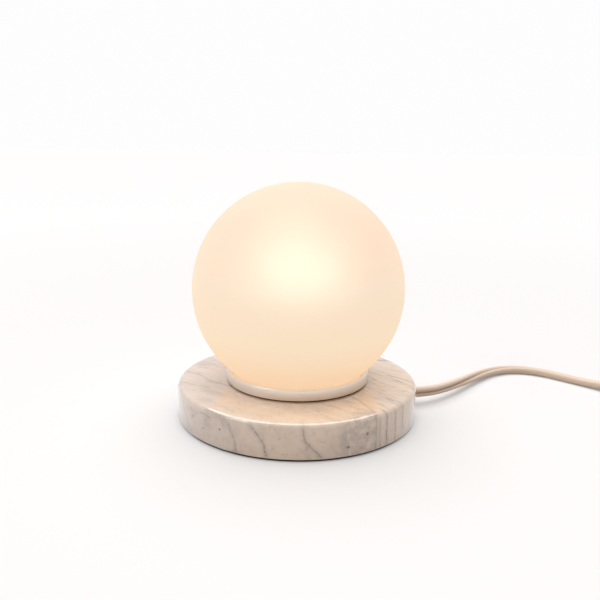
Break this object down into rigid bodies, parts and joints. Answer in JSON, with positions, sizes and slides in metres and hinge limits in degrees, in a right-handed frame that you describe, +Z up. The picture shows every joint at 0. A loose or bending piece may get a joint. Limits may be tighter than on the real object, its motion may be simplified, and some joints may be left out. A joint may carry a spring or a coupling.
{
  "type": "table lamp",
  "caption": "Small table lamp: opal glass globe on a low metal collar and a round marble base, with a flat textile cord, in-line rocker switch and two-pin plug.",
  "frame": {"origin": "on the lamp's axis, at the underside of the foot pad", "axes": "+Z up along the lamp's axis; the cord leaves the stone along +X"},
  "size_m": [0.4148, 0.171, 0.1335],
  "materials": {
    "marble": "polished, veined",
    "foot_foam": "matt foam",
    "black_rubber": "matt",
    "textile": "fine braid",
    "core_brown": "smooth",
    "core_blue": "smooth",
    "clamp_nylon": "moulded",
    "zinc_steel": "zinc plated",
    "collar_metal": "satin, turned",
    "seat_silicone": "soft, matt",
    "spring_steel": "bright",
    "opal_glass": "opal, satin, lit from inside",
    "holder_plastic": "moulded thermoset",
    "holder_ceramic": "unglazed",
    "contact_brass": "stamped",
    "bulb_opal": "opal, lit",
    "bulb_white": "moulded",
    "bulb_nickel": "nickel plated",
    "bulb_black": "glassy",
    "board_metal": "white lacquer",
    "switch_plastic": "moulded",
    "rocker_plastic": "moulded",
    "plug_plastic": "moulded",
    "pin_nickel": "nickel plated",
    "sleeve_plastic": "moulded",
    "tie_plastic": "flat strap"
  },
  "bodies": {
    "base": {"foot_pad": "foot_foam", "marble_base": "marble", "cord_bush": "black_rubber", "inner_cord": "textile", "line_core": "core_brown", "neutral_core": "core_blue", "clamp_bar": "clamp_nylon", "clamp_saddle": "clamp_nylon", "clamp_screws": "zinc_steel", "nipple": "zinc_steel", "lock_washer": "zinc_steel", "lock_nut": "zinc_steel", "collar_gasket": "black_rubber", "collar": "collar_metal", "globe_seat": "seat_silicone", "globe_clips": "spring_steel", "clip_rivets": "spring_steel", "holder_cap": "holder_plastic", "holder_skirt": "holder_plastic", "holder_insert": "holder_ceramic", "screw_shell": "contact_brass", "centre_contact": "contact_brass", "terminal_blocks": "contact_brass", "terminal_screws": "zinc_steel", "cord_to_switch": "textile", "switch_lower": "switch_plastic", "switch_upper": "switch_plastic", "switch_pivot": "zinc_steel", "switch_contacts": "contact_brass", "switch_screws": "zinc_steel", "cord_to_coil": "textile", "cord_coil": "textile", "coil_tie": "tie_plastic", "cord_to_plug": "textile", "plug_body": "plug_plastic", "plug_pins": "pin_nickel", "plug_sleeves": "sleeve_plastic"},
    "globe": {"globe": "opal_glass"},
    "bulb": {"bulb_contact": "bulb_nickel", "bulb_insulator": "bulb_black", "bulb_screw_cap": "bulb_nickel", "bulb_housing": "bulb_white", "bulb_led_board": "board_metal", "bulb_diffuser": "bulb_opal"},
    "rocker": {"switch_rocker": "rocker_plastic"}
  },
  "joints": [
    {"name": "globe_lift", "type": "slide", "parent": "base", "child": "globe", "axis": [0, 0, 1], "range_m": [0, 0.12]},
    {"name": "bulb_unscrew", "type": "slide", "parent": "base", "child": "bulb", "axis": [0, 0, 1], "range_m": [0, 0.012]},
    {"name": "switch_rocker", "type": "hinge", "parent": "base", "child": "rocker", "pos_m": [0.22761, -0.04038, 0.0102], "axis": [-0.9029, -0.4299, 0], "range_deg": [0, 18]}
  ]
}
